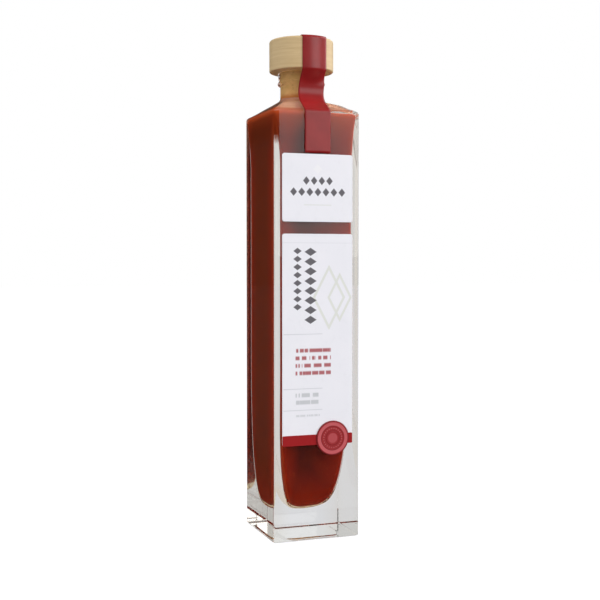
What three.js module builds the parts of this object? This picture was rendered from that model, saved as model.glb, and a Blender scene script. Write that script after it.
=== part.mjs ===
// A slim square bottle of hot sauce: thick clear glass, a wooden-headed stopper, a seal strip
// over the stopper, and paper labels on the front.
// Millimetres, +Z up. The front faces -Y, and the origin is the middle of the base.
import * as THREE from "three";

// Glass body
const bodyWidth = 26.1;
const bodyEdgeRadius = 0.5;
const heelRadius = 0.5;
const baseRecess = { half: 9.4, depth: 0.25, slope: 0.8, corner: 3 };
const wallTop = 122.4;
const shoulderRadius = 1;
const shoulderTurn = THREE.MathUtils.degToRad(62);
const shoulderPull = { half: 9.9, z: 124.5 };
const shoulderRoundingStart = 125;

// Neck and lip
const neckBase = { radius: 6.7, z: 127 };
const neckRadius = 6.15;
const neckStart = 128.6;
const neckFillet = 0.4;
const bead = { z: 132.2, rise: 0.8, halfHeight: 0.7, end: THREE.MathUtils.degToRad(45) };
const lip = { radius: 6.9, groove: 6.6, top: 135.4, round: 0.4 };
const boreRadius = 4.2;

// Cavity inside the glass. Its wall thins towards the shoulder, where its corners sharpen, and its
// bottom slopes down to the left. It leans: left of the axis at the bottom, right of it further up.
const wallThickness = 2.15;
const cavityCorner = 1.2;
const cavityBottom = 7.9;
const cavityTaperTop = 50;
const cavityTop = 127.1;
const thinWall = { bottom: 108, pull: [11.4, 117], thickness: 0.8, corner: 0.5 };
const cavityShoulder = { wall: 121.5, outer: [11.4, 122.7], inner: [5.2, 124.9], drop: 0.3, rise: 0.7 };
const bottomFullness = { run: 1.8, swell: 0.2, rounding: 0.45 };
const bottomTilt = { slope: 0.07, top: 20 };
const cavityLean = { low: -0.4, high: 0.5, rise: [15, 50], fall: [110, 121.5] };

// Stopper
const headRadius = 9.4;
const headBottom = 135.6;
const headTop = 144.75;
const headEdge = { top: 0.6, bottom: 0.35 };
const shankBottom = 127.4;
const shankClearance = 0.12;
const shankChamfer = 0.4;

// Seal strip. The waypoints are depth and height where it leaves the shoulder, turns at the
// foot of the neck, runs up the neck, passes the bead and reaches out to the head.
// It runs a little to one side on its way up.
const strip = { width: 7.8, thickness: 0.25, gap: 0.1, foot: 111, columns: 6 };
const stripOffset = { foot: 0.15, head: 0.9 };
const stripWaypoints = [
  { depth: 10.5, z: 124.75 },
  { depth: 8.4, z: 126.2 },
  { depth: 7, z: 127.8 },
  { depth: 6.5, z: 129.3 },
  { depth: 6.55, z: 130.7 },
  { depth: 7.2, z: 132.5 },
  { depth: headRadius, z: headBottom - 0.2 },
];
const stripBow = { start: 130.8, full: 134.8 };

// Labels
const paper = { thickness: 0.2, gap: 0.05, corner: 0.7 };
const label = { width: 21.4, offset: 0.15 };
const upperLabel = { bottom: 91.35, top: 110.6 };
const mainLabel = { bottom: 27.55, top: 87.95 };
const band = { height: 3, thickness: 0.12, gap: 0.03 };
const seal = { x: 4.65, z: 29.3, radius: 5, thickness: 0.35, rim: 0.12, gap: 0.03 };

// How finely curves are cut
const pointsPerCorner = 8;
const bottomSteps = 12;
const headSegments = 48;
const sauceClearance = 0.12;

const bodyHalf = bodyWidth / 2;
const cavityHalf = bodyHalf - wallThickness;
const { lerp, smoothstep } = THREE.MathUtils;

// A ring with flat sides and round corners. Its facets touch the true outline, so the flats
// stay on the faces, and where the corner is as large as the half width it is a circle.
// A tilt makes it rise towards +X, and a shift moves it along X.
function squareRing({ half, corner, z, tilt = 0, shift = 0 }) {
  const step = Math.PI / 2 / pointsPerCorner;
  const reach = corner / Math.cos(step / 2);
  const centre = half - corner;
  const points = [];
  for (let quarter = 0; quarter < 4; quarter++) {
    const turn = (quarter * Math.PI) / 2;
    const towards = new THREE.Vector2(centre, centre).rotateAround(new THREE.Vector2(), turn);
    for (let i = 0; i < pointsPerCorner; i++) {
      const angle = turn + (i + 0.5) * step;
      const x = towards.x + reach * Math.cos(angle);
      const y = towards.y + reach * Math.sin(angle);
      points.push(new THREE.Vector3(x + shift, y, z + tilt * x));
    }
  }
  return points;
}

// A closed surface through a run of rings, drawn together to one point on the axis at each end.
function loft(stations, startZ, endZ) {
  const rings = stations.map(squareRing);
  const count = rings[0].length;
  const vertices = [new THREE.Vector3(0, 0, startZ), ...rings.flat(), new THREE.Vector3(0, 0, endZ)];
  const last = vertices.length - 1;
  const at = (ring, i) => 1 + ring * count + (i % count);
  const triangles = [];
  for (let i = 0; i < count; i++) {
    triangles.push(0, at(0, i + 1), at(0, i));
    triangles.push(last, at(rings.length - 1, i), at(rings.length - 1, i + 1));
    for (let ring = 0; ring + 1 < rings.length; ring++) {
      const below = [at(ring, i), at(ring, i + 1)];
      const above = [at(ring + 1, i), at(ring + 1, i + 1)];
      triangles.push(below[0], below[1], above[1], below[0], above[1], above[0]);
    }
  }
  const geometry = new THREE.BufferGeometry().setFromPoints(vertices).setIndex(triangles);
  geometry.computeVertexNormals();
  return geometry;
}

// Outer profile of the glass, as half width against height, from the base to the lip's mouth.
function outerStations() {
  const path = new THREE.Path();
  path.moveTo(baseRecess.half - baseRecess.slope, baseRecess.depth);
  path.lineTo(baseRecess.half, 0);
  path.absarc(bodyHalf - heelRadius, heelRadius, heelRadius, -Math.PI / 2, 0);
  path.absarc(bodyHalf - shoulderRadius, wallTop, shoulderRadius, 0, shoulderTurn);
  path.quadraticCurveTo(shoulderPull.half, shoulderPull.z, neckBase.radius, neckBase.z);
  path.quadraticCurveTo(neckRadius, neckBase.z + neckFillet, neckRadius, neckStart);
  path.absellipse(neckRadius, bead.z, bead.rise, bead.halfHeight, -Math.PI / 2, bead.end);
  path.lineTo(lip.groove, bead.z + bead.halfHeight);
  path.absarc(lip.radius - lip.round, lip.top - lip.round, lip.round, 0, Math.PI / 2);
  path.absarc(boreRadius + lip.round, lip.top - lip.round, lip.round, Math.PI / 2, Math.PI);
  return path.getPoints(4).map(({ x: half, y: z }) => ({ half, z, corner: outerCorner(half, z) }));
}

// The body's corners are nearly sharp up to the shoulder's upper part, where they open out to a
// round neck. Those of the heel and the recess under the base are softer.
function outerCorner(half, z) {
  if (half <= baseRecess.half && z < wallTop) return baseRecess.corner;
  if (z < heelRadius) return bodyEdgeRadius + (bodyHalf - half);
  return lerp(bodyEdgeRadius, half, smoothstep(z, shoulderRoundingStart, neckBase.z));
}

// Profile of the cavity from the bore down to its bottom.
// The walls draw in towards the base, and the bottom is a soft flattened bowl, a little tilted.
function cavityStations() {
  const path = new THREE.Path();
  const { wall, outer, inner, drop, rise } = cavityShoulder;
  const widest = bodyHalf - thinWall.thickness;
  path.moveTo(boreRadius, cavityTop);
  path.quadraticCurveTo(boreRadius, inner[1] + rise, ...inner);
  path.lineTo(...outer);
  path.quadraticCurveTo(widest, outer[1] - drop, widest, wall);
  path.quadraticCurveTo(...thinWall.pull, cavityHalf, thinWall.bottom);
  path.lineTo(cavityHalf, cavityTaperTop);
  const stations = path.getPoints(4).map(({ x: half, y: z }) => ({ half, z }));
  for (let i = 1; i < bottomSteps; i++) {
    const down = Math.sin((i / bottomSteps) * (Math.PI / 2));
    const half = cavityHalf * (1 - down ** bottomFullness.run) ** bottomFullness.swell;
    stations.push({ half, z: lerp(cavityTaperTop, cavityBottom, down) });
  }
  return stations.map(({ half, z }) => {
    const tilt = bottomTilt.slope * (1 - smoothstep(z, cavityBottom, bottomTilt.top));
    return { half, z, tilt, shift: cavityShift(z), corner: cavityCornerAt(half, z) };
  });
}

function cavityShift(z) {
  const { low, high, rise, fall } = cavityLean;
  return lerp(low, high, smoothstep(z, ...rise)) * (1 - smoothstep(z, ...fall));
}

function cavityCornerAt(half, z) {
  const drawnIn = cavityCorner + (cavityHalf - half) * bottomFullness.rounding;
  if (z < cavityTaperTop) return Math.min(half, drawnIn);
  const corner = lerp(cavityCorner, thinWall.corner, smoothstep(z, thinWall.bottom, cavityShoulder.wall));
  return lerp(corner, half, smoothstep(z, cavityShoulder.outer[1], cavityShoulder.inner[1]));
}

function bottleGlass() {
  return loft([...outerStations(), ...cavityStations()], baseRecess.depth, cavityBottom);
}

// The sauce fills the cavity up to the bore, a little clear of the glass.
function sauceFill() {
  const stations = cavityStations().reverse();
  const inside = stations.map(({ half, corner, ...place }) => ({
    half: half - sauceClearance,
    corner: corner - sauceClearance,
    ...place,
  }));
  return loft(inside, cavityBottom + sauceClearance, cavityTop);
}

// A profile of radius against height, spun about the axis.
function turned(path, divisions) {
  const geometry = new THREE.LatheGeometry(path.getPoints(divisions), headSegments);
  return geometry.rotateX(Math.PI / 2);
}

function stopperHead() {
  const path = new THREE.Path();
  path.moveTo(0, headBottom);
  path.lineTo(headRadius - headEdge.bottom, headBottom);
  path.absarc(headRadius - headEdge.bottom, headBottom + headEdge.bottom, headEdge.bottom, -Math.PI / 2, 0);
  path.absarc(headRadius - headEdge.top, headTop - headEdge.top, headEdge.top, 0, Math.PI / 2);
  path.lineTo(0, headTop);
  return turned(path, 2);
}

function stopperShank() {
  const radius = boreRadius - shankClearance;
  const path = new THREE.Path();
  path.moveTo(0, shankBottom);
  path.lineTo(radius - shankChamfer, shankBottom);
  path.lineTo(radius, shankBottom + shankChamfer);
  path.lineTo(radius, headBottom);
  path.lineTo(0, headBottom);
  return turned(path, 1);
}

// The strip's middle line on the front, as depth from the axis against height, from its foot on
// the front face, over the shoulder, in to the neck, out to the head and up to the head's rim.
function stripLine(offset) {
  const face = bodyHalf + offset;
  const path = new THREE.Path();
  path.moveTo(face, strip.foot);
  path.lineTo(face, wallTop);
  path.absarc(bodyHalf - shoulderRadius, wallTop, shoulderRadius + offset, 0, shoulderTurn);
  path.splineThru(stripWaypoints.map(({ depth, z }) => new THREE.Vector2(depth + offset, z)));
  path.absarc(headRadius - headEdge.top, headTop - headEdge.top, headEdge.top + offset, 0, Math.PI / 2);
  return path.getPoints(3);
}

// One long edge to edge row of the strip for each point along it: flat up to the neck, wound round
// the head, and flat again across the top, then the same down the back.
function stripRows(offset) {
  const { columns } = strip;
  const line = stripLine(offset);
  const across = (reach, side, { x: depth, y: z }) => {
    const bow = smoothstep(z, stripBow.start, stripBow.full);
    const angle = reach / depth;
    const x = lerp(reach, depth * Math.sin(angle), bow);
    const y = lerp(depth, depth * Math.cos(angle), bow);
    return new THREE.Vector3(x, side * y, z);
  };
  const row = (side) => (point) =>
    Array.from({ length: columns + 1 }, (_, i) => {
      const middle = lerp(stripOffset.foot, stripOffset.head, smoothstep(point.y, wallTop, headBottom));
      return across(middle + strip.width * (i / columns - 0.5), side, point);
    });
  return [...line.map(row(-1)), ...line.reverse().map(row(1))];
}

// Two layers of rows joined along their edges make the strip a thin closed band.
function sealStrip() {
  const { columns } = strip;
  const under = stripRows(strip.gap);
  const over = stripRows(strip.gap + strip.thickness);
  const loops = under.map((row, i) => [...row, ...over[i].reverse()]);
  const count = loops[0].length;
  const at = (loop, i) => loop * count + (i % count);
  const triangles = [];
  for (let loop = 0; loop + 1 < loops.length; loop++) {
    for (let i = 0; i < count; i++) {
      const [a, b, c, d] = [at(loop, i), at(loop, i + 1), at(loop + 1, i + 1), at(loop + 1, i)];
      triangles.push(a, c, b, a, d, c);
    }
  }
  for (let i = 0; i < columns; i++) {
    const [a, b, c, d] = [i, i + 1, count - 2 - i, count - 1 - i];
    triangles.push(a, b, c, a, c, d);
    const end = (loops.length - 1) * count;
    triangles.push(end + a, end + c, end + b, end + a, end + d, end + c);
  }
  const geometry = new THREE.BufferGeometry().setFromPoints(loops.flat()).setIndex(triangles);
  geometry.computeVertexNormals();
  return geometry;
}

// A flat outline, drawn as x against height, made a sheet that lies in front of the body.
function frontSheet(shape, standOff, thickness) {
  const geometry = new THREE.ExtrudeGeometry(shape, { depth: thickness, bevelEnabled: false, curveSegments: 6 });
  geometry.rotateX(Math.PI / 2);
  return geometry.translate(0, -bodyHalf - standOff, 0);
}

// A rectangle with round corners. With a tab, its lower edge bulges round the seal.
function labelShape({ bottom, top }, tab) {
  const left = label.offset - label.width / 2;
  const right = label.offset + label.width / 2;
  const r = paper.corner;
  const shape = new THREE.Shape();
  shape.moveTo(left, bottom + r);
  shape.absarc(left + r, bottom + r, r, Math.PI, Math.PI * 1.5);
  if (tab) {
    const dip = Math.asin((tab.z - bottom) / tab.radius);
    shape.absarc(tab.x, tab.z, tab.radius, Math.PI + dip, 2 * Math.PI - dip);
  }
  shape.absarc(right - r, bottom + r, r, Math.PI * 1.5, Math.PI * 2);
  shape.absarc(right - r, top - r, r, 0, Math.PI / 2);
  shape.absarc(left + r, top - r, r, Math.PI / 2, Math.PI);
  return shape;
}

function bandShape() {
  const left = label.offset - label.width / 2;
  const right = label.offset + label.width / 2;
  const top = mainLabel.bottom + band.height;
  const r = paper.corner;
  const shape = new THREE.Shape();
  shape.moveTo(left, top);
  shape.lineTo(left, mainLabel.bottom + r);
  shape.absarc(left + r, mainLabel.bottom + r, r, Math.PI, Math.PI * 1.5);
  shape.absarc(right - r, mainLabel.bottom + r, r, Math.PI * 1.5, Math.PI * 2);
  shape.lineTo(right, top);
  return shape;
}

// A round badge with a softened front edge, on the band and the label.
function labelSeal() {
  const path = new THREE.Path();
  path.moveTo(0, 0);
  path.lineTo(seal.radius, 0);
  path.absarc(seal.radius - seal.rim, seal.thickness - seal.rim, seal.rim, 0, Math.PI / 2);
  path.lineTo(0, seal.thickness);
  const geometry = turned(path, 2).rotateX(Math.PI / 2);
  return geometry.translate(seal.x, -bodyHalf - sealStandOff, seal.z);
}

const bandStandOff = paper.gap + paper.thickness + band.gap;
const sealStandOff = bandStandOff + band.thickness + seal.gap;

const glassMaterial = new THREE.MeshStandardMaterial({
  color: 0xe4ebe6,
  roughness: 0.05,
  metalness: 0,
  transparent: true,
  opacity: 0.35,
});
const sauceMaterial = new THREE.MeshStandardMaterial({ color: 0x6a1c10, roughness: 0.35, metalness: 0 });
const woodMaterial = new THREE.MeshStandardMaterial({ color: 0xd0b183, roughness: 0.65, metalness: 0 });
const corkMaterial = new THREE.MeshStandardMaterial({ color: 0xb98a55, roughness: 0.85, metalness: 0 });
const stripMaterial = new THREE.MeshStandardMaterial({ color: 0x9c2427, roughness: 0.4, metalness: 0 });
const labelMaterial = new THREE.MeshStandardMaterial({ color: 0xecebf0, roughness: 0.7, metalness: 0 });
const redPrintMaterial = new THREE.MeshStandardMaterial({ color: 0x9b1f22, roughness: 0.5, metalness: 0 });
const sealMaterial = new THREE.MeshStandardMaterial({ color: 0xb34a4d, roughness: 0.45, metalness: 0 });

const bottle = new THREE.Group();

function addPiece(name, geometry, material) {
  const mesh = new THREE.Mesh(geometry, material);
  mesh.name = name;
  bottle.add(mesh);
}

addPiece("bottle_glass", bottleGlass(), glassMaterial);
addPiece("sauce_fill", sauceFill(), sauceMaterial);
addPiece("stopper_shank", stopperShank(), corkMaterial);
addPiece("stopper_head", stopperHead(), woodMaterial);
addPiece("seal_strip", sealStrip(), stripMaterial);
addPiece("label_upper", frontSheet(labelShape(upperLabel), paper.gap, paper.thickness), labelMaterial);
addPiece("label_main", frontSheet(labelShape(mainLabel, seal), paper.gap, paper.thickness), labelMaterial);
addPiece("label_band", frontSheet(bandShape(), bandStandOff, band.thickness), redPrintMaterial);
addPiece("label_seal", labelSeal(), sealMaterial);

export default bottle;
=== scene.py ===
import math
import bpy
import numpy as np
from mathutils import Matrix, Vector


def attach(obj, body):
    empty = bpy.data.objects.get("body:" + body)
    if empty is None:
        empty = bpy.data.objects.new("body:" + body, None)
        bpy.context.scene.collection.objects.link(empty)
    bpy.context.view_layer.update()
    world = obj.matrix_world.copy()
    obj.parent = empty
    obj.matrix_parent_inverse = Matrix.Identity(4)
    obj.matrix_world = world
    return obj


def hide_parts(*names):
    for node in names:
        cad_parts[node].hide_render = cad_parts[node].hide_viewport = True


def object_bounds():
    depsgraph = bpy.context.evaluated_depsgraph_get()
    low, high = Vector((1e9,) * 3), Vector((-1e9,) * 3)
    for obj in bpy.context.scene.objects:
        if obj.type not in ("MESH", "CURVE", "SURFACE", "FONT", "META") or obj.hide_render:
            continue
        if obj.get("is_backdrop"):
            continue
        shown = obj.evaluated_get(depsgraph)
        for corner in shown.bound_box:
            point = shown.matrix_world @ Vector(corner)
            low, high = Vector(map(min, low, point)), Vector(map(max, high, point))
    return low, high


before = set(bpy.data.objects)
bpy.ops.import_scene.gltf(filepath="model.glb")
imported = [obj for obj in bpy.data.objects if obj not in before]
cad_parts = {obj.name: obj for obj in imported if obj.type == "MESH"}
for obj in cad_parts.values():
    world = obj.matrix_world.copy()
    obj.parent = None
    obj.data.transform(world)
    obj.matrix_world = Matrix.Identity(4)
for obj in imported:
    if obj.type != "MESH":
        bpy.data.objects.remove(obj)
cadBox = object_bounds()
mm = 0.001
pi = math.pi
scene = bpy.context.scene


class Link:
    # a shader socket that takes arithmetic, each operator adds one Math node
    def __init__(self, mat, out):
        self.mat, self.out = mat, out

    def calc(self, op, *args, clamp=False):
        return self.mat.node("ShaderNodeMath", {"operation": op, "use_clamp": clamp}, dict(enumerate(args)))

    def __add__(self, other): return self.calc("ADD", self, other)
    def __radd__(self, other): return self.calc("ADD", other, self)
    def __sub__(self, other): return self.calc("SUBTRACT", self, other)
    def __rsub__(self, other): return self.calc("SUBTRACT", other, self)
    def __mul__(self, other): return self.calc("MULTIPLY", self, other)
    def __rmul__(self, other): return self.calc("MULTIPLY", other, self)
    def __truediv__(self, other): return self.calc("DIVIDE", self, other)
    def __rtruediv__(self, other): return self.calc("DIVIDE", other, self)
    def __pow__(self, other): return self.calc("POWER", self, other)
    def __abs__(self): return self.calc("ABSOLUTE", self)
    def root(self): return self.calc("SQRT", self)
    def floor(self): return self.calc("FLOOR", self)
    def fract(self): return self.calc("FRACT", self)
    def least(self, other): return self.calc("MINIMUM", self, other)
    def most(self, other): return self.calc("MAXIMUM", self, other)
    def angleTo(self, other): return self.calc("ARCTAN2", self, other)

    # 0 below lo, 1 above hi, straight between
    def ramp(self, lo, hi):
        return self.calc("MULTIPLY", self - lo, 1 / (hi - lo), clamp=True)

    # 1 between lo and hi, with soft edges
    def inside(self, lo, hi, soft=0.06):
        return self.ramp(lo - soft, lo + soft) * (1 - self.ramp(hi - soft, hi + soft))


class Finish:
    # one material (or the world) and the nodes in it
    def __init__(self, name, tree=None):
        if tree is None:
            self.data = bpy.data.materials.new(name)
            self.data.use_nodes = True
            tree = self.data.node_tree
        self.tree = tree
        tree.nodes.clear()

    def node(self, kind, settings=None, sockets=None, out=0):
        made = self.tree.nodes.new(kind)
        for key, value in (settings or {}).items():
            setattr(made, key, value)
        for key, value in (sockets or {}).items():
            if isinstance(value, Link):
                self.tree.links.new(value.out, made.inputs[key])
            else:
                made.inputs[key].default_value = value
        return Link(self, made.outputs[out])

    def place(self):
        return self.node("ShaderNodeTexCoord", out="Object")

    # x, y and z of a vector
    def split(self, vector):
        parts = self.node("ShaderNodeSeparateXYZ", None, {0: vector}).out.node.outputs
        return [Link(self, part) for part in parts]

    # object coordinates in millimetres
    def axes(self):
        return [part * 1000 for part in self.split(self.place())]

    # object coordinates stretched by a Mapping node
    def stretched(self, scale):
        return self.node("ShaderNodeMapping", None, {"Vector": self.place(), "Scale": scale})

    def noise(self, vector, scale, detail=3, rough=0.5, twist=0.0):
        return self.node("ShaderNodeTexNoise", None, {"Vector": vector, "Scale": scale, "Detail": detail,
                                                      "Roughness": rough, "Distortion": twist})

    # the first colour where the share is 0, the second where it is 1
    def blend(self, share, one, two):
        return self.node("ShaderNodeMix", {"data_type": "RGBA"},
                         {0: share, 6: asColour(one), 7: asColour(two)}, out=2)

    def bump(self, height, strength, distance):
        return self.node("ShaderNodeBump", None, {"Height": height, "Strength": strength, "Distance": distance})

    def surface(self, sockets):
        return self.node("ShaderNodeBsdfPrincipled", None, sockets)

    # which kind of ray is looking, one socket for each output named
    def rays(self, *names):
        outputs = self.node("ShaderNodeLightPath").out.node.outputs
        return [Link(self, outputs[name]) for name in names]

    def output(self, shader, kind="ShaderNodeOutputMaterial"):
        end = self.tree.nodes.new(kind)
        self.tree.links.new(shader.out, end.inputs["Surface"])
        return getattr(self, "data", None)


# a colour as a socket takes it
def asColour(value):
    return value if isinstance(value, Link) else (*value, 1)


# sRGB 0-255 to linear
def rgb(r, g, b):
    c = np.array([r, g, b]) / 255
    return tuple(float(v) for v in np.where(c <= 0.04045, c / 12.92, ((c + 0.055) / 1.055) ** 2.4))


def addPiece(name, points, faces, material, node, smooth=True):
    mesh = bpy.data.meshes.new(name)
    mesh.from_pydata((points * mm).tolist(), [], faces)
    mesh.polygons.foreach_set("use_smooth", np.full(len(mesh.polygons), smooth))
    mesh.materials.append(material)
    mesh.validate()
    mesh.update()
    piece = bpy.data.objects.new(name, mesh)
    scene.collection.objects.link(piece)
    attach(piece, "root")
    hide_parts(node)
    print(f"{name}: {len(mesh.polygons)} faces")


# quads of a grid of rows by columns that is closed across its columns
def wrapFaces(rows, cols, first=0):
    r, c = np.meshgrid(np.arange(rows - 1), np.arange(cols), indexing="ij")
    n = (c + 1) % cols
    quads = np.stack([r * cols + c, r * cols + n, (r + 1) * cols + n, (r + 1) * cols + c], -1)
    return (quads.reshape(-1, 4) + first).tolist()


# rings of points closed by one point at each end; faces look outwards when the rings run anticlockwise
# and upwards
def closeRings(grid, start, end):
    rows, cols = grid.shape[:2]
    points = np.concatenate([[start], grid.reshape(-1, 3), [end]])
    ring = np.arange(cols)
    step = (ring + 1) % cols
    top = 1 + (rows - 1) * cols
    low = np.stack([np.zeros(cols, int), 1 + step, 1 + ring], -1)
    high = np.stack([np.full(cols, rows * cols + 1), top + ring, top + step], -1)
    return points, low.tolist() + wrapFaces(rows, cols, 1) + high.tolist()


# part of a circle or ellipse in (half width, height), angles in degrees
def arc(x, z, rx, rz, start, stop, count):
    a = np.radians(np.linspace(start, stop, count))
    return np.stack([x + rx * np.cos(a), z + rz * np.sin(a)], -1)


# quadratic curve from p0 to p2, pulled to p1
def bend(p0, p1, p2, count):
    t = np.linspace(0, 1, count)[:, None]
    return (1 - t) ** 2 * np.array(p0) + 2 * t * (1 - t) * np.array(p1) + t ** 2 * np.array(p2)


# points on a straight line at the given shares of it
def run(p0, p1, shares):
    return np.array(p0) + np.array(shares)[:, None] * (np.array(p1) - np.array(p0))


# 0 below lo, 1 above hi, and between them 3 times the share squared less twice its cube
def smoothstep(v, lo, hi):
    t = np.clip((v - lo) / (hi - lo), 0, 1)
    return t * t * (3 - 2 * t)


bottle = dict(
    half=13.05, edge=0.5, heel=0.5, perQuarter=56, crowding=1.8,
    recess=9.4, recessDepth=0.25, recessSlope=0.8, recessInset=(4, 1.4), recessCorner=3.0,
    wallTop=122.4, shoulder=1.0, turn=62, pull=(9.9, 124.5), rounding=125.0,
    neckBase=(6.7, 127.0), neck=6.15, neckPull=127.4, neckStart=128.6,
    bead=132.2, beadSize=(0.8, 0.7), groove=6.6, grooveLine=[(0.02, 0.6), (0, 0.75), (0.05, 1.2)],
    lip=6.9, lipTop=135.4, lipEdge=0.4, bore=4.2, borePull=125.6,
    cavityHalf=10.9, cavityCorner=1.2, cavityBottom=7.9, cavityTop=127.1, taperTop=50.0,
    thinHalf=12.25, thinTop=121.5, thinLow=108.0, thinPull=(11.4, 117.0), thinCorner=0.5,
    roofIn=(5.2, 124.9), roofOut=(11.4, 122.7), roofPull=122.4,
    bowlRun=1.8, bowlSwell=0.2, bowlRounding=0.45, bowlTilt=0.07, bowlTiltTop=20.0,
    shift=(-0.4, 0.5), shiftLow=(15.0, 50.0), shiftHigh=(110.0, 121.5),
    tint=(0.985, 0.992, 0.985), footReflectionTint=(0.9, 0.87, 0.8), shade=(0.96, 0.97, 0.96, 1), ior=1.5)


# angles round the axis, closer together towards the four corners: how far one lies from its corner is an
# even share to the power crowding
def ringAngles():
    n = bottle["perQuarter"]
    t = (np.arange(n) + 0.5) / n * 2 - 1
    quarter = pi / 4 * (1 + np.sign(t) * np.abs(t) ** bottle["crowding"])
    return np.concatenate([quarter + k * pi / 2 for k in range(4)])


# distance from the axis to a square with round corners: where the ray meets the flat side, or past
# that where it meets the corner's circle
def ringRadius(angle, half, corner):
    a = np.abs((angle + pi / 4) % (pi / 2) - pi / 4)
    c = half - corner
    flat = half / np.cos(a)
    gap = corner ** 2 - (c * (np.cos(a) - np.sin(a))) ** 2
    turn = c * (np.cos(a) + np.sin(a)) + np.sqrt(np.maximum(gap, 0))
    return np.where(half * np.tan(a) <= c, flat, turn)


# ring after ring of that outline: half width, corner and height for each row, angle for each column, and
# for each row a slope of height over x and a shift along x
def squareRings(half, corner, z, tilt, shift):
    a = ringAngles()[None, :]
    r = ringRadius(a, half[:, None], np.minimum(corner, half * 0.9995)[:, None])
    x, y = r * np.cos(a), r * np.sin(a)
    return np.stack([x + shift[:, None], y, z[:, None] + x * tilt[:, None]], -1)


# outer wall from the recess out to the foot and up to the mouth, in straight runs, arcs and quadratic
# bends; the corner grows from a small edge to the whole half width, a circle, at the neck
def outerProfile():
    b = bottle
    edge, lipEnd = b["lipEdge"], b["lipTop"] - b["lipEdge"]
    shoulderEdge = arc(b["half"] - b["shoulder"], b["wallTop"], b["shoulder"], b["shoulder"], 0, b["turn"], 10)
    line = [
        [[b["recess"] - inset, b["recessDepth"]] for inset in b["recessInset"]],
        bend((b["recess"] - b["recessSlope"], b["recessDepth"]), (b["recess"] - b["recessSlope"] / 2, 0),
             (b["recess"], 0), 8),
        [[b["half"] - b["heel"] - 0.15, 0]],
        arc(b["half"] - b["heel"], b["heel"], b["heel"], b["heel"], -90, 0, 10),
        run((b["half"], b["heel"]), (b["half"], b["wallTop"]), [0.001, 0.01, 0.25, 0.5, 0.75, 0.99, 0.999]),
        shoulderEdge,
        bend(shoulderEdge[-1], b["pull"], b["neckBase"], 26)[1:],
        bend(b["neckBase"], (b["neck"], b["neckPull"]), (b["neck"], b["neckStart"]), 12)[1:],
        [[b["neck"], b["neckStart"] + 0.2], [b["neck"], b["bead"] - b["beadSize"][0]]],
        arc(b["neck"], b["bead"], *b["beadSize"], -88, 45, 16),
        [[b["groove"] + out, b["bead"] + up] for out, up in b["grooveLine"]],
        arc(b["lip"] - edge, lipEnd, edge, edge, 0, 90, 8),
        arc(b["bore"] + edge, lipEnd, edge, edge, 90, 180, 8),
    ]
    half, z = np.concatenate([np.array(part) for part in line]).T
    corner = b["edge"] + (half - b["edge"]) * smoothstep(z, b["rounding"], b["neckBase"][1])
    corner = np.where(z < b["heel"], b["edge"] + b["half"] - half, corner)
    return half, np.where((half < b["recess"] + 0.1) & (z < 1), b["recessCorner"], corner), z


# cavity from the bore down: the wall thickens below the shoulder, and the lower walls draw in
# as 1 less the share of the way down to the power bowlRun, all to the power bowlSwell, to a soft bowl
def cavityProfile():
    b = bottle
    thin, thick = (b["thinHalf"], b["thinTop"]), (b["cavityHalf"], b["thinLow"])
    line = [
        [[b["bore"], b["lipTop"] - 1], [b["bore"], b["cavityTop"] + 0.2]],
        bend((b["bore"], b["cavityTop"]), (b["bore"], b["borePull"]), b["roofIn"], 10),
        run(b["roofIn"], b["roofOut"], [0.1, 0.4, 0.7, 0.93]),
        bend(b["roofOut"], (b["thinHalf"], b["roofPull"]), thin, 12),
        bend(thin, b["thinPull"], thick, 16)[1:],
        run(thick, (b["cavityHalf"], b["taperTop"]), [0.01, 0.25, 0.5, 0.75, 0.99]),
    ]
    down = np.sin(np.linspace(0.02, 0.992, 40) * pi / 2)
    bowl = np.stack([b["cavityHalf"] * (1 - down ** b["bowlRun"]) ** b["bowlSwell"],
                     b["taperTop"] + (b["cavityBottom"] - b["taperTop"]) * down], -1)
    half, z = np.concatenate([np.array(part) for part in line] + [bowl]).T
    drawn = np.minimum(half * 0.999, b["cavityCorner"] + (b["cavityHalf"] - half) * b["bowlRounding"])
    soft = b["cavityCorner"] + (b["thinCorner"] - b["cavityCorner"]) * smoothstep(z, b["thinLow"], b["thinTop"])
    risen = soft + (half - soft) * smoothstep(z, b["roofOut"][1], b["roofIn"][1])
    return half, np.where(z < b["taperTop"], drawn, risen), z


# the bowl's bottom slopes down to the left, and the cavity leans from left of the middle at the bowl
# to right of it higher up, and back to the middle at the shoulder
def cavityLean(z):
    b = bottle
    low, high = b["shift"]
    tilt = b["bowlTilt"] * (1 - smoothstep(z, b["cavityBottom"], b["bowlTiltTop"]))
    shift = low + (high - low) * smoothstep(z, *b["shiftLow"])
    return tilt, shift * (1 - smoothstep(z, *b["shiftHigh"]))


def glassFinish():
    m = Finish("clear glass")
    ripple = m.noise(m.stretched((60, 60, 14)), 1.0, 2, 0.4)
    x, _, z = m.axes()
    thick = abs(x).ramp(8, 13) * (1 - z.ramp(18, 45))    # painted reflection: the deep glass of the foot is tinted a little tan at its sides, standing in for brown reflections there
    tint = m.blend(thick, bottle["tint"], bottle["footReflectionTint"])
    body = m.surface({"Base Color": tint, "Roughness": 0.0, "IOR": bottle["ior"],
                      "Transmission Weight": 1.0, "Normal": m.bump(ripple, 0.03, 0.002)})
    lit, = m.rays("Is Shadow Ray")                       # these pass straight through
    clear = m.node("ShaderNodeBsdfTransparent", None, {"Color": bottle["shade"]})
    return m.output(m.node("ShaderNodeMixShader", None, {0: lit, 1: body, 2: clear}))


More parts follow.
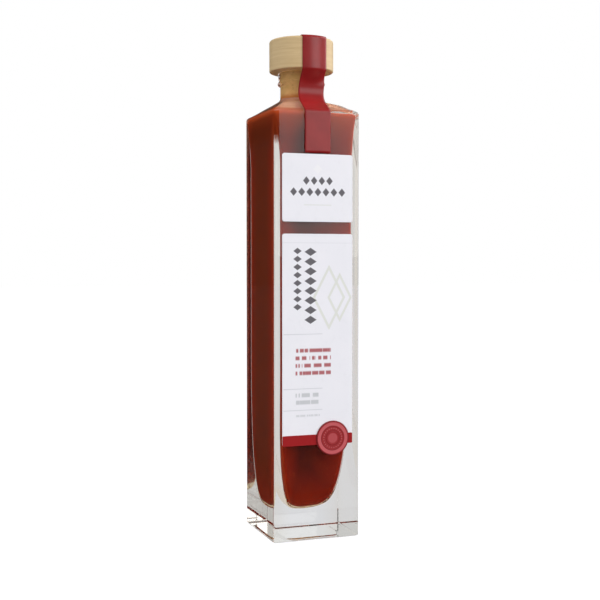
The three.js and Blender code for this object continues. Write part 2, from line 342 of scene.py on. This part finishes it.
def makeGlass():
    outer, inner = outerProfile(), cavityProfile()
    half, corner, z = (np.concatenate(pair) for pair in zip(outer, inner))
    lean = (np.concatenate([np.zeros(outer[2].size), part]) for part in cavityLean(inner[2]))
    grid = squareRings(half, corner, z, *lean)
    points, faces = closeRings(grid, (0, 0, bottle["recessDepth"]), (0, 0, bottle["cavityBottom"]))
    addPiece("glass_shell", points, faces, glassFinish(), "bottle_glass")


sauce = dict(
    into=0.05, top=127.5, edge=(-0.4, 0.4), ior=0.88,
    deep=rgb(80, 22, 16), red=rgb(148, 36, 16), brown=rgb(116, 44, 18), glow=rgb(192, 80, 40),
    roof=rgb(214, 164, 138), shadeLine=rgb(150, 76, 54), back=rgb(176, 140, 122), rim=rgb(226, 178, 124),
    speck=rgb(150, 60, 30), gleamLow=rgb(240, 216, 176), gleam=rgb(251, 247, 242))


def sauceFinish():
    m = Finish("hot sauce")
    x, y, z = m.axes()
    cloud = m.noise(m.place(), 160, 4, 0.55, 0.6)
    speck = m.noise(m.place(), 900, 2, 0.5).ramp(0.66, 0.74)
    wide, far = abs(x), abs(y)
    corner = wide.least(far) / wide.most(far)            # 1 along the upright corners
    left = (0 - x - far).ramp(*sauce["edge"])            # each is 1 on its own walls only
    side = (wide - far).ramp(*sauce["edge"])
    front = (0 - y - wide).ramp(*sauce["edge"])
    back = (y - wide).ramp(*sauce["edge"])
    thin = corner.ramp(0.45, 0.95)                       # painted light: lighter red where light would come through the corners and the bottom
    thin = thin.most(1 - z.ramp(8, 21))
    thin = thin.most(x.ramp(-2, 10) * front * 0.9) * (1 - z.ramp(111, 115) * (0 - x).ramp(8, 10) * 0.7)
    glow = z.ramp(112, 122.5) ** (2.4 + left * 3)        # painted light: a glow where light would come through the top
    glow = glow.most(left * corner.ramp(0.8, 1.0) * 0.5).most(x.ramp(9.5, 12) * z.ramp(100, 118) * 0.8)
    # painted light and shade: brown on the side walls, deep red on the front and back
    colour = m.blend(side, sauce["deep"], sauce["brown"])
    colour = m.blend(cloud.ramp(0.35, 0.7) * 0.3, colour, sauce["brown"])
    # painted light coming through the corners, the bottom and the front's right part, in red
    colour = m.blend(thin * 0.8, colour, sauce["red"])
    # painted light: the glow at the top, the left corners and the right walls, in orange
    colour = m.blend(glow * 0.7, colour, sauce["glow"])
    # painted reflection: a faint pale tan sheen along the left part of the back wall
    colour = m.blend(back * (0 - x).ramp(7, 9.5) * 0.45, colour, sauce["back"])
    # painted light: above the shoulder line a pale pinkish tan for the lit glass of the shoulder, with painted
    # shade lines in two rings
    reach = wide.most(far)
    shadeLine = reach.inside(8.7, 9.6, 0.5).most(1 - reach.ramp(4.6, 5.8))
    colour = m.blend(z.ramp(122.5, 123.2), colour, m.blend(shadeLine * 0.2, sauce["roof"], sauce["shadeLine"]))
    colour = m.blend(speck * 0.2, colour, sauce["speck"])
    colour = m.blend((1 - z.ramp(8.2, 9.2)) * 0.6, colour, sauce["rim"])    # painted reflection: paler where the bowl turns under, for the pale rim seen through the glass there
    body = m.surface({"Base Color": colour, "Roughness": 0.5, "Specular IOR Level": 0.0})
    gleam = m.blend(z.ramp(9, 17), sauce["gleamLow"], sauce["gleam"])
    mirror = m.surface({"Base Color": gleam, "Metallic": 1.0, "Roughness": 0.02})
    graze = m.node("ShaderNodeFresnel", None, {"IOR": sauce["ior"]})     # optically thinner than glass
    graze = graze * (1 - z.ramp(113.5, 116.5) * (0 - x).ramp(0, 5))      # none on the left below the shoulder
    return m.output(m.node("ShaderNodeMixShader", None, {0: graze, 1: body, 2: mirror}))


def makeSauce():
    half, corner, z = (v[::-1] for v in cavityProfile())
    keep = z <= bottle["cavityTop"] + 0.05
    half, corner, z = half[keep] + sauce["into"], corner[keep] + sauce["into"], z[keep]
    z = np.where(z == z.max(), sauce["top"], z)
    grid = squareRings(half, corner, z, *cavityLean(z))
    points, faces = closeRings(grid, (0, 0, bottle["cavityBottom"] - sauce["into"]), (0, 0, sauce["top"]))
    addPiece("sauce_body", points, faces, sauceFinish(), "sauce_fill")


stopper = dict(
    radius=9.4, bottom=135.6, top=144.75, topEdge=0.6, bottomEdge=0.35, wobble=0.0008,
    shankInto=0.03, shankBottom=127.3, shankEdge=0.1,
    pale=rgb(226, 198, 148), tan=rgb(211, 180, 129), streak=rgb(198, 164, 112), pore=rgb(170, 134, 84),
    cork=rgb(234, 188, 126), corkTan=rgb(214, 170, 104), pit=rgb(150, 98, 50), soaked=rgb(186, 96, 44))


# a profile of radius and height spun round the axis; the radius wobbles by a small share, as the sine of
# three times the angle, turned with the height
def spun(profile, count, wobble=0.0):
    r, z = profile.T
    a = np.linspace(0, 2 * pi, count, endpoint=False)[None, :]
    r = r[:, None] * (1 + wobble * np.sin(3 * a + z[:, None] * 0.7))
    return np.stack([r * np.cos(a), r * np.sin(a), np.broadcast_to(z[:, None], r.shape)], -1)


def woodFinish():
    m = Finish("turned wood")
    grain = m.noise(m.stretched((60, 60, 1500)), 1.0, 4, 0.6, 0.4)
    streak = m.noise(m.stretched((25, 25, 420)), 1.0, 2, 0.5, 0.8)
    pores = m.noise(m.stretched((260, 260, 2600)), 1.0, 2, 0.5).ramp(0.62, 0.72)
    colour = m.blend(grain.ramp(0.3, 0.7), stopper["tan"], stopper["pale"])
    colour = m.blend(streak.ramp(0.4, 0.75) * 0.15, colour, stopper["streak"])
    colour = m.blend(pores * 0.15, colour, stopper["pore"])
    return m.output(m.surface({"Base Color": colour, "Roughness": 0.4 + grain * 0.1,
                               "Specular IOR Level": 0.6, "Normal": m.bump(grain - pores, 0.12, 0.0002)}))


def corkFinish():
    m = Finish("cork shank")
    z = m.axes()[2]
    grain = m.noise(m.stretched((420, 420, 700)), 1.0, 5, 0.65, 0.3)
    pits = m.noise(m.stretched((900, 900, 1200)), 1.0, 2, 0.5).ramp(0.6, 0.7)
    colour = m.blend(grain.ramp(0.3, 0.7), stopper["corkTan"], stopper["cork"])
    colour = m.blend(pits * 0.2, colour, stopper["pit"])
    soaked = 1 - (z + grain * 1.2).ramp(128.6, 130.0)    # by the sauce below
    colour = m.blend(soaked * 0.7, colour, stopper["soaked"])
    return m.output(m.surface({"Base Color": colour, "Roughness": 0.8, "Specular IOR Level": 0.1,
                               "Normal": m.bump(grain - pits, 0.3, 0.0003)}))


def makeStopper():
    s = stopper
    wide, low, high = s["radius"], s["bottomEdge"], s["topEdge"]
    head = np.concatenate([
        [[2.0, s["bottom"]], [wide - 0.7, s["bottom"]]],
        arc(wide - low, s["bottom"] + low, low, low, -90, 0, 8),
        run((wide, s["bottom"] + 0.5), (wide, s["top"] - 0.8), np.linspace(0, 1, 12)),
        arc(wide - high, s["top"] - high, high, high, 0, 90, 10),
        [[wide - 0.9, s["top"]], [4.0, s["top"]], [1.0, s["top"]]],
    ])
    points, faces = closeRings(spun(head, 160, s["wobble"]), (0, 0, s["bottom"]), (0, 0, s["top"]))
    addPiece("wood_head", points, faces, woodFinish(), "stopper_head")
    reach, edge = bottle["bore"] + s["shankInto"], s["shankEdge"]
    lipEnd = bottle["lipTop"] - bottle["lipEdge"]
    shank = np.concatenate([
        [[1.5, s["shankBottom"]], [reach - 0.2, s["shankBottom"]]],
        arc(reach - edge, s["shankBottom"] + edge, edge, edge, -90, 0, 5),
        run((reach, s["shankBottom"] + 0.3), (reach, lipEnd), [0, 0.3, 0.6, 1]),
        [[reach + 0.12, bottle["lipTop"] - 0.15], [reach + 0.3, s["bottom"]], [1.5, s["bottom"]]],
    ])
    points, faces = closeRings(spun(shank, 96), (0, 0, s["shankBottom"]), (0, 0, s["bottom"]))
    addPiece("cork_plug", points, faces, corkFinish(), "stopper_shank")


strip = dict(
    width=7.8, offsetFoot=0.15, offsetHead=0.9, gap=0.1, thick=0.2, foot=110.9, across=18,
    waypoints=[(10.5, 124.75), (8.4, 126.2), (7.0, 127.8), (6.5, 129.3), (6.55, 130.7), (7.2, 132.5),
               (9.4, 135.4)],
    bow=(130.8, 134.8), leaves=(125.5, 127.5), meets=(134, 135.4), ruffle=0.02,
    lit=rgb(162, 24, 25), dark=rgb(147, 16, 18), edge=rgb(110, 16, 20))


# smooth curve through the waypoints, each span a cubic whose slope at a point is half the difference of
# that point's neighbours
def throughPoints(points, count):
    p = np.array(points, float)
    p = np.concatenate([[2 * p[0] - p[1]], p, [2 * p[-1] - p[-2]]])
    t = np.linspace(0, len(points) - 1 - 1e-6, count)
    k = t.astype(int)
    u = (t - k)[:, None]
    a, b, c, d = p[k], p[k + 1], p[k + 2], p[k + 3]
    return b + 0.5 * u * (c - a + u * (2 * a - 5 * b + 4 * c - d + u * (3 * (b - c) + d - a)))


# middle line of the strip from its foot on the face to the rim of the head, at a given stand-off
def stripLine(off):
    b, s, h = bottle, strip, stopper
    reach, wide, edge = b["shoulder"] + off, h["radius"] + off, h["topEdge"]
    shoulder = arc(b["half"] - b["shoulder"], b["wallTop"], reach, reach, 0, b["turn"], 8)
    way = np.array(s["waypoints"]) + [off, 0]
    slack = throughPoints(np.concatenate([shoulder[-1:], way]), 48)[1:]
    return np.concatenate([
        run((b["half"] + off, s["foot"]), (b["half"] + off, b["wallTop"]), np.linspace(0, 0.97, 16)),
        shoulder,
        slack,
        run((wide, h["bottom"] + 0.2), (wide, h["top"] - edge), np.linspace(0, 0.98, 10)),
        arc(h["radius"] - edge, h["top"] - edge, edge + off, edge + off, 0, 90, 7),
    ])


# middle of the strip at a height: it runs a little to the right on its way up
def stripMiddle(z):
    foot, head = strip["offsetFoot"], strip["offsetHead"]
    return foot + (head - foot) * smoothstep(z, bottle["wallTop"], stopper["bottom"])


# rows across the strip: flat up to the neck, then wound round the head so that the paper keeps its
# width (x is depth times sine of reach over depth), front then back; where it hangs free of the bottle
# it ruffles a little, as a sine of height and x
def stripRows(off, ruffle):
    s = strip
    depth, z = stripLine(off).T[:, :, None]
    reach = stripMiddle(z) + (s["width"] * (np.arange(s["across"] + 1) / s["across"] - 0.5))[None, :]
    bow = smoothstep(z, *s["bow"])
    x = reach + (depth * np.sin(reach / depth) - reach) * bow
    out = depth + depth * (np.cos(reach / depth) - 1) * bow
    free = smoothstep(z, *s["leaves"]) * (1 - smoothstep(z, *s["meets"]))
    out = out + ruffle * free * np.sin(z * 1.3 + x * 0.3)
    front = np.stack([x, -out, np.broadcast_to(z, out.shape)], -1)
    back = front[::-1] * [1, -1, 1]
    span = np.linspace(0, 1, 14)[1:-1, None, None]
    over = front[-1][None] * (1 - span) + back[0][None] * span
    return np.concatenate([front, over, back])


def stripFinish():
    m = Finish("seal strip paper")
    x, _, z = m.axes()
    fibre = m.noise(m.stretched((500, 500, 120)), 1.0, 4, 0.6)
    cloud = m.noise(m.place(), 220, 3, 0.5)
    edge = abs(x - strip["offsetFoot"]).ramp(3.6, 3.9) * (1 - z.ramp(122, 124))
    colour = m.blend(cloud.ramp(0.3, 0.7), strip["dark"], strip["lit"])
    colour = m.blend(edge * 0.3, colour, strip["edge"])
    return m.output(m.surface({"Base Color": colour, "Roughness": 0.29 + fibre * 0.1,
                               "Specular IOR Level": 0.7, "Normal": m.bump(fibre, 0.12, 0.0002)}))


def makeStrip():
    s = strip
    under = stripRows(s["gap"], 0)
    over = stripRows(s["gap"] + s["thick"], s["ruffle"])[:, ::-1]
    loops = np.concatenate([under, over], 1)
    rows, cols = loops.shape[:2]
    faces = [face[::-1] for face in wrapFaces(rows, cols)]
    i = np.arange(s["across"])
    cap = np.stack([i, i + 1, cols - 2 - i, cols - 1 - i], -1)
    faces += cap.tolist() + (cap[:, ::-1] + (rows - 1) * cols).tolist()
    addPiece("strip_paper", loops.reshape(-1, 3), faces, stripFinish(), "seal_strip")


labels = dict(
    width=21.4, offset=0.15, gap=0.05, thick=0.2, corner=0.7, upper=(91.35, 110.6), main=(27.55, 87.95),
    band=3.0, bandThick=0.1, bandGap=0.02, bandCorner=0.3, bandBevel=0.03, fibre=0.0001,
    white=rgb(247, 246, 252), cloud=rgb(240, 240, 247), fibreGrey=rgb(226, 226, 232), grey=rgb(74, 70, 76),
    red=rgb(170, 40, 48), bandRed=rgb(160, 30, 34), bandLight=rgb(172, 36, 38), bandDark=rgb(140, 22, 27))
badge = dict(
    x=4.65, z=29.3, radius=5.0, tab=4.9, gap=0.06, front=0.74, beads=24, beadRidge=(2.52, 0.16, 0.06),
    ridges=[(4.68, 0.12, 0.08), (3.4, 0.1, 0.06), (1.85, 0.1, 0.05)],
    deep=rgb(160, 29, 34), light=rgb(168, 34, 40), pink=rgb(210, 98, 103), bead=rgb(206, 110, 112),
    dark=rgb(120, 18, 24))


# outline of a rectangle with round corners, anticlockwise from the front; with a tab its lower edge
# follows the circle round a badge
def roundedOutline(x0, x1, z0, z1, r, tab=None, count=10):
    parts = [arc(x0 + r, z0 + r, r, r, 180, 270, count), arc(x1 - r, z0 + r, r, r, 270, 360, count),
             arc(x1 - r, z1 - r, r, r, 0, 90, count), arc(x0 + r, z1 - r, r, r, 90, 180, count)]
    if tab:
        dip = math.degrees(math.asin((tab["z"] - z0) / tab["tab"]))
        parts.insert(1, arc(tab["x"], tab["z"], tab["tab"], tab["tab"], 180 + dip, 360 - dip, 3 * count))
    return np.concatenate(parts)


# sheet on the front face: each row is the outline drawn in by some millimetres, and stands some depth
# off the face
def sheetRings(outline, back, front, bevel=0.05):
    mid = (outline.min(0) + outline.max(0)) / 2
    size = (outline.max(0) - outline.min(0)) / 2
    inner = size.min() * 0.6
    steps = np.array([(inner, back), (0.02, back), (0, back + 0.01), (0, front - bevel),
                      (bevel * 0.4, front - bevel * 0.3), (bevel, front), (bevel + 0.2, front), (inner, front)])
    share = 1 - steps[:, :1, None] / size[None, None, :]
    flat = mid + (outline - mid)[None] * share
    depth = np.broadcast_to(-bottle["half"] - steps[:, 1:], flat.shape[:2])
    grid = np.stack([flat[..., 0], depth, flat[..., 1]], -1)
    ends = [(mid[0], -bottle["half"] - d, mid[1]) for d in (back, front)]
    return closeRings(grid, *ends)


# faint fibres and clouds that every label shares
def paperFibres(m):
    fibre = m.noise(m.stretched((700, 700, 500)), 1.0, 5, 0.65, 0.4)
    cloud = m.noise(m.place(), 90, 2, 0.5)
    return fibre, cloud


def labelBase(m, fibre, cloud):
    colour = m.blend(cloud.ramp(0.3, 0.7) * 0.5, labels["white"], labels["cloud"])
    return m.blend(fibre.ramp(0.55, 0.8) * 0.25, colour, labels["fibreGrey"])


# printed paper, a little rougher along its fibres, which also stand up as bump
def paperSurface(m, colour, fibre, rough, shine, relief):
    return m.output(m.surface({"Base Color": colour, "Roughness": rough + fibre * 0.15,
                               "Specular IOR Level": shine, "Normal": m.bump(fibre, relief, labels["fibre"])}))


# the greatest of several shares
def anyOf(parts):
    first, *others = parts
    for part in others:
        first = first.most(part)
    return first


# broken rows of fine bars: rows repeat every pitch, and noise along each row opens the gaps
def finePrint(m, x, z, box, pitch, fill, grain, cut):
    x0, x1, z0, z1 = box
    row = (z - z0) / pitch
    line = row.fract().inside(0.5 - fill / 2, 0.5 + fill / 2, 0.08)
    seat = m.node("ShaderNodeCombineXYZ", None, {0: x * grain, 1: row.floor() * 7.3, 2: 0.0})
    word = m.noise(seat, 1.0, 1, 0.4).ramp(cut - 0.03, cut + 0.03)
    return line * word * x.inside(x0, x1) * z.inside(z0, z1)


# chain of lozenges in a column or a row: the sum of the shares of the half diagonals is under 1 inside
def lozenges(across, along, middle, reach, lo, hi, pitch, size):
    step = ((along - lo) / pitch).fract() - 0.5
    inner = abs(across - middle) / reach + abs(step) * (1 / size)
    return (1 - inner.ramp(0.92, 1.08)) * along.inside(lo, hi)


# each row: middle height, reach, ends, pitch and size of its lozenges
upperPrint = dict(
    rows=[(103.0, 1.2, -4.5, 4.9, 2.35, 0.42), (99.8, 1.2, -8.4, 8.75, 2.45, 0.42)],
    rule=(-4.0, 4.3), ruleHeight=(96.0, 96.3), ruleGrey=rgb(222, 224, 218),
    mark=106.3, markWhite=rgb(252, 251, 253))


def upperFinish():
    m = Finish("upper label print")
    p = upperPrint
    x, _, z = m.axes()
    fibre, cloud = paperFibres(m)
    ink = anyOf(lozenges(z, x, *row) for row in p["rows"])
    faint = x.inside(*p["rule"]) * z.inside(*p["ruleHeight"]) * 0.5
    mark = (abs(x - labels["offset"]) + abs(z - p["mark"])).ramp(1.2, 1.5)
    colour = labelBase(m, fibre, cloud)
    colour = m.blend((1 - mark) * 0.5, colour, p["markWhite"])
    colour = m.blend(faint, colour, p["ruleGrey"])
    colour = m.blend(ink * 0.9, colour, labels["grey"])
    return paperSurface(m, colour, fibre, rough=0.6, shine=0.25, relief=0.08)


# outline of one large lozenge: the sum of the shares of its two half diagonals is 1 on the line
def largeLozenge(x, z, cx, cz, wide, tall, line):
    return 1 - abs(abs(x - cx) / wide + abs(z - cz) / tall - 1).ramp(line, line * 1.5)


# columns as the rows above; ghosts: middle, half diagonals and line of a large lozenge; bars: box, pitch,
# fill, grain and cut of fine print, with its share and colour
mainPrint = dict(
    columns=[(-6.0, 1.25, 66.0, 84.2, 2.275, 0.4), (-2.05, 1.85, 62.1, 84.2, 2.7625, 0.42)],
    ghosts=[(3.6, 69.8, 4.6, 8.6, 0.07), (6.9, 69.8, 3.4, 6.4, 0.09)], ghostGrey=rgb(226, 228, 220),
    rules=[(59.3, 59.5), (43.7, 43.9), (37.6, 37.8)], ruleEnds=(-10.2, 1.6), topRule=(85.3, 85.45),
    ruleGrey=rgb(205, 205, 212), ruleSoft=0.05,
    bars=[(((-6.6, 0.4, 38.9, 43.0), 2.05, 0.55, 0.8, 0.4), 0.8, rgb(196, 198, 202)),
          (((-6.6, 0.8, 35.4, 36.8), 1.4, 0.4, 1.6, 0.44), 0.5, rgb(190, 192, 196)),
          (((-6.6, 4.2, 47.2, 55.8), 2.15, 0.5, 0.95, 0.42), 0.85, labels["red"])])


def mainFinish():
    m = Finish("main label print")
    p = mainPrint
    x, _, z = m.axes()
    fibre, cloud = paperFibres(m)
    ghost = anyOf(largeLozenge(x, z, *row) for row in p["ghosts"])
    rules = anyOf(z.inside(*row, p["ruleSoft"]) for row in p["rules"]) * x.inside(*p["ruleEnds"])
    rules = rules.most(z.inside(*p["topRule"], p["ruleSoft"]) * 0.5)
    ink = anyOf(lozenges(x, z, *row) for row in p["columns"])
    colour = labelBase(m, fibre, cloud)
    colour = m.blend(ghost * 0.8, colour, p["ghostGrey"])
    colour = m.blend(rules * 0.7, colour, p["ruleGrey"])
    for bars, share, tone in p["bars"]:
        colour = m.blend(finePrint(m, x, z, *bars) * share, colour, tone)
    colour = m.blend(ink * 0.9, colour, labels["grey"])
    return paperSurface(m, colour, fibre, rough=0.6, shine=0.25, relief=0.08)


def bandFinish():
    m = Finish("red band print")
    fibre, cloud = paperFibres(m)
    colour = m.blend(cloud.ramp(0.3, 0.7) * 0.6, labels["bandRed"], labels["bandLight"])
    colour = m.blend(fibre.ramp(0.55, 0.8) * 0.25, colour, labels["bandDark"])
    return paperSurface(m, colour, fibre, rough=0.55, shine=0.12, relief=0.1)


def badgeFinish():
    m = Finish("round badge print")
    x, _, z = m.axes()
    dx, dz = x - badge["x"], z - badge["z"]
    r = (dx * dx + dz * dz).root()
    fibre, cloud = paperFibres(m)
    ring = r.inside(3.6, 4.55, 0.1)
    fine = r.inside(4.75, 5.2, 0.08).most(r.inside(3.4, 3.55, 0.06)).most(r.inside(2.0, 2.15, 0.07))
    turn = (dz.angleTo(dx) * (badge["beads"] / (2 * pi))).fract()
    beads = turn.inside(0.25, 0.75, 0.1) * r.inside(2.6, 2.95, 0.08)
    colour = m.blend(cloud.ramp(0.3, 0.7) * 0.5, badge["deep"], badge["light"])
    colour = m.blend(ring * 0.85, colour, badge["pink"])
    colour = m.blend(fine * 0.8, colour, badge["dark"])
    colour = m.blend(beads * 0.6, colour, badge["bead"])
    colour = m.blend((1 - r.ramp(1.3, 1.6)) * 0.5, colour, badge["pink"])
    return paperSurface(m, colour, fibre, rough=0.42, shine=0.4, relief=0.1)


# badge: depth over radius is a sum of soft bell-shaped ridges, one of them beaded by the cosine of the
# angle, spun about the badge's middle
def badgeRings():
    b = badge
    wide, face = b["radius"], -bottle["half"]
    back, front = labels["gap"] + labels["thick"] + b["gap"], b["front"]
    r = np.linspace(0.35, wide - 0.12, 60)[::-1]
    a = np.linspace(0, 2 * pi, 144, endpoint=False)[None, :]
    ridge = lambda at, spread, high: high * np.exp(-((r - at) / spread) ** 2)
    tall = front - 0.1 + sum(ridge(*row) for row in b["ridges"])
    tall = tall[:, None] + ridge(*b["beadRidge"])[:, None] * (0.5 + 0.5 * np.cos(b["beads"] * a))
    rim = np.array([[wide - 0.05, back], [wide, back + 0.03], [wide, front - 0.2], [wide - 0.04, front - 0.12]])
    radius = np.concatenate([rim[:, 0], r])[:, None]
    depth = np.concatenate([np.broadcast_to(rim[:, 1:], (len(rim), a.size)), tall])
    grid = np.stack([b["x"] + radius * np.cos(a), face - depth, b["z"] + radius * np.sin(a)], -1)
    ends = [(b["x"], face - d, b["z"]) for d in (back, float(tall[-1].mean()))]
    return closeRings(grid, *ends)


def makeLabels():
    t = labels
    x0, x1 = t["offset"] - t["width"] / 2, t["offset"] + t["width"] / 2
    face = t["gap"] + t["thick"]
    points, faces = sheetRings(roundedOutline(x0, x1, *t["upper"], t["corner"]), t["gap"], face)
    addPiece("upper_sheet", points, faces, upperFinish(), "label_upper", smooth=False)
    points, faces = sheetRings(roundedOutline(x0, x1, *t["main"], t["corner"], badge), t["gap"], face)
    addPiece("main_sheet", points, faces, mainFinish(), "label_main", smooth=False)
    low = t["main"][0]
    outline = roundedOutline(x0, x1, low, low + t["band"], t["bandCorner"])
    points, faces = sheetRings(outline, face + t["bandGap"], face + t["bandThick"], t["bandBevel"])
    addPiece("band_sheet", points, faces, bandFinish(), "label_band", smooth=False)
    points, faces = badgeRings()
    addPiece("round_badge", points, faces, badgeFinish(), "label_seal")


makeGlass()
makeSauce()
makeStopper()
makeStrip()
makeLabels()


stage = dict(
    floor=3.0, floorHeight=-0.0002, floorGlow=(0.97, 0.97, 1.0, 1), floorMatt=(0.85, 0.85, 0.86, 1), shadow=0.14,
    key=(0.371, -0.574, 0.36), keySize=(0.37, 0.55), keyPower=1.08,
    side=(0.75, 0.1, 0.45), sideSize=(0.6, 0.8), sidePower=3.0, sideAim=(0, 0, 0.08),
    lens=63.43, sensor=36, near=0.01, camera=(-0.108065, -0.294877, 0.080106), down=2.09, right=20.06)


# brightness by kind of ray: one for the camera, one for what is seen through the glass, one for what
# mirrors in the part, and one, with a gain inside the glass, for what lights the matt surfaces
def rayLevel(m, camera, through, mirror, matt, gain=0.0):
    looks, glossy, passed, deep = m.rays("Is Camera Ray", "Is Glossy Ray", "Is Transmission Ray", "Diffuse Depth")
    seen = 1 - deep.least(1)                             # not lighting something matt
    level = matt * (1 + gain * passed * (1 - seen))      # makes up for light lost on its way in
    level = level + seen * passed * (through - level)
    level = level + seen * glossy * (1 - passed) * (mirror - level)
    return level + looks * (camera - level)


# the floor glows white to the camera, dim lavender through the glass, and hardly at all in mirrors
def makeFloor():
    m = Finish("pale floor")
    level = rayLevel(m, camera=1.1, through=0.75, mirror=0.02, matt=0.25)
    looks, = m.rays("Is Camera Ray")
    glow = m.node("ShaderNodeEmission", None, {"Color": stage["floorGlow"], "Strength": level})
    matt = m.node("ShaderNodeBsdfDiffuse", None, {"Color": stage["floorMatt"]})
    mixed = m.node("ShaderNodeMixShader", None, {0: looks * stage["shadow"], 1: glow, 2: matt})
    mesh = bpy.data.meshes.new("floor")
    s, low = stage["floor"], stage["floorHeight"]        # a hair under the foot
    mesh.from_pydata([(-s, -s, low), (s, -s, low), (s, s, low), (-s, s, low)], [], [(0, 1, 2, 3)])
    mesh.materials.append(m.output(mixed))
    floor = bpy.data.objects.new("floor", mesh)
    scene.collection.objects.link(floor)
    floor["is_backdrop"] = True


def makeWorld():
    world = bpy.data.worlds.new("studio")
    world.use_nodes = True
    scene.world = world
    m = Finish("studio", world.node_tree)
    x, y, z = m.split(m.node("ShaderNodeTexCoord", out="Generated"))
    bright = 0.45 + 0.3 * y.ramp(-0.3, 0.5)              # backdrop behind, darker in front and at the sides
    bright = bright * (1 - 0.6 * abs(x).ramp(0.6, 0.9)) * (1 - 0.15 * (0 - x).ramp(0.1, 0.3))
    mirror = 0.01 + 0.1 * x.ramp(0.3, 0.9)
    matt = (1.4 + 0.25 * x.ramp(-0.6, 0.9)) * (0.3 + 0.7 * z.ramp(-0.5, 0.3)) * (1 - 0.4 * z.ramp(0.35, 0.9))
    level = rayLevel(m, camera=1.0, through=bright, mirror=mirror, matt=matt, gain=0.5)
    light = m.node("ShaderNodeBackground", None, {"Color": (1, 1, 1, 1), "Strength": level})
    m.output(light, "ShaderNodeOutputWorld")


# area light turned to face the target, its upright side upright
def addSoftbox(name, place, size, power, target):
    light = bpy.data.lights.new(name, "AREA")
    light.shape, light.size, light.size_y, light.energy = "RECTANGLE", *size, power
    lamp = bpy.data.objects.new(name, light)
    lamp.location = place
    away = np.array(place) - np.array(target)
    flat = math.hypot(away[0], away[1])
    lamp.rotation_euler = (math.atan2(flat, away[2]), 0, math.atan2(away[0], -away[1]))
    scene.collection.objects.link(lamp)


def makeCamera():
    data = bpy.data.cameras.new("camera")
    data.lens, data.sensor_width, data.clip_start = stage["lens"], stage["sensor"], stage["near"]
    camera = bpy.data.objects.new("camera", data)
    camera.location = stage["camera"]
    camera.rotation_euler = (math.radians(90 - stage["down"]), 0, math.radians(-stage["right"]))
    scene.collection.objects.link(camera)
    scene.camera = camera


makeFloor()
makeWorld()
addSoftbox("front softbox", stage["key"], stage["keySize"], stage["keyPower"], (0, 0, stage["key"][2]))
addSoftbox("side softbox", stage["side"], stage["sideSize"], stage["sidePower"], stage["sideAim"])
makeCamera()
scene.view_settings.view_transform = "Standard"
scene.cycles.max_bounces = scene.cycles.transmission_bounces = 24     # long ways round inside the thick glass
scene.cycles.glossy_bounces = 16
print("stage, light and camera set")

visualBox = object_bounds()
plain = lambda box: [[float(v) for v in corner] for corner in box]
{"cad": plain(cadBox), "visual": plain(visualBox)}
print("size", visualBox)
